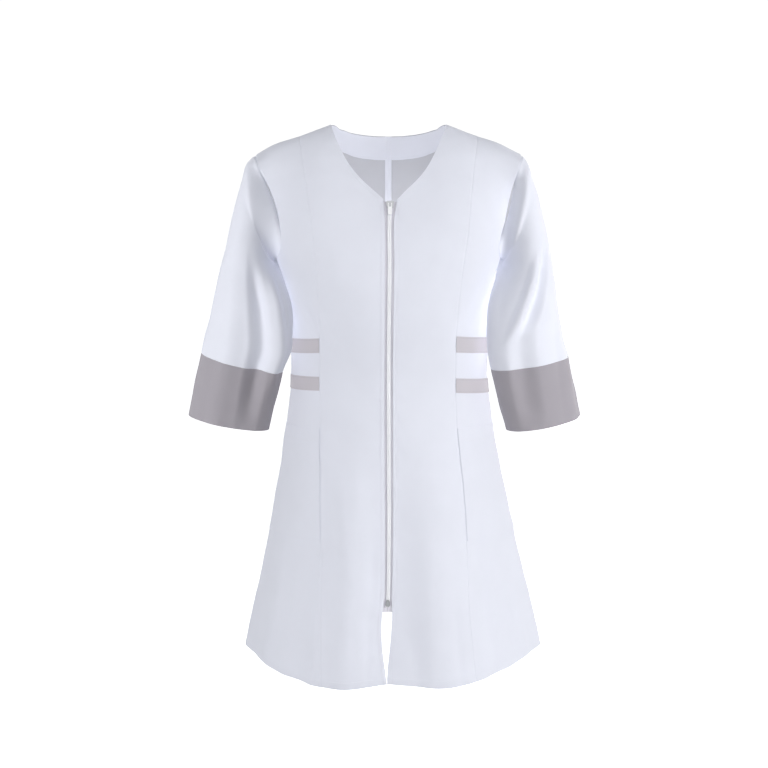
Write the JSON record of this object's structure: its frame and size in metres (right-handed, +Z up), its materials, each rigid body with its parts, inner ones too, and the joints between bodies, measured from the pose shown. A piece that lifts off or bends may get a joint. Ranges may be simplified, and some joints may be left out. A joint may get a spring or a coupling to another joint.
{
  "type": "nurse uniform dress",
  "caption": "Short white nurse uniform dress, collarless V neck, zip front, three-quarter sleeves with grey cuffs, grey waist strips and side pockets.",
  "frame": {"origin": "midway between the two points where the shoulder seams meet the neck, where the wearer's shoulders hold the dress up", "axes": "+Z up, -Y to the front of the dress, +X to the wearer's left"},
  "size_m": [0.6146, 0.3438, 0.8484],
  "materials": {
    "white_cloth": "matt polyester and cotton twill, cool white",
    "grey_cloth": "matt polyester and cotton twill, warm mid grey",
    "zip_tape": "white woven zip tape",
    "zip_metal": "satin nickel",
    "zip_dark_metal": "dark nickel"
  },
  "bodies": {
    "garment": {"front_centre_left": "white_cloth", "front_centre_right": "white_cloth", "front_side_left": "white_cloth", "front_side_right": "white_cloth", "back_left": "white_cloth", "back_right": "white_cloth", "neck_facing": "white_cloth", "sleeve_left": "white_cloth", "sleeve_right": "white_cloth", "cuff_left": "grey_cloth", "cuff_right": "grey_cloth", "waist_strip_upper_left": "grey_cloth", "waist_strip_upper_right": "grey_cloth", "waist_strip_lower_left": "grey_cloth", "waist_strip_lower_right": "grey_cloth", "pocket_left": "white_cloth", "pocket_right": "white_cloth", "zip_tape_left": "zip_tape", "zip_tape_right": "zip_tape", "zip_slider": "zip_metal", "zip_bottom_stop": "zip_dark_metal"},
    "pull_tab": {"zip_pull": "zip_metal"}
  },
  "joints": [
    {"name": "pull_tab_swing", "type": "hinge", "parent": "garment", "child": "pull_tab", "pos_m": [0.00204, -0.09574, -0.1155], "axis": [-1, 0, 0], "range_deg": [0, 150]}
  ]
}
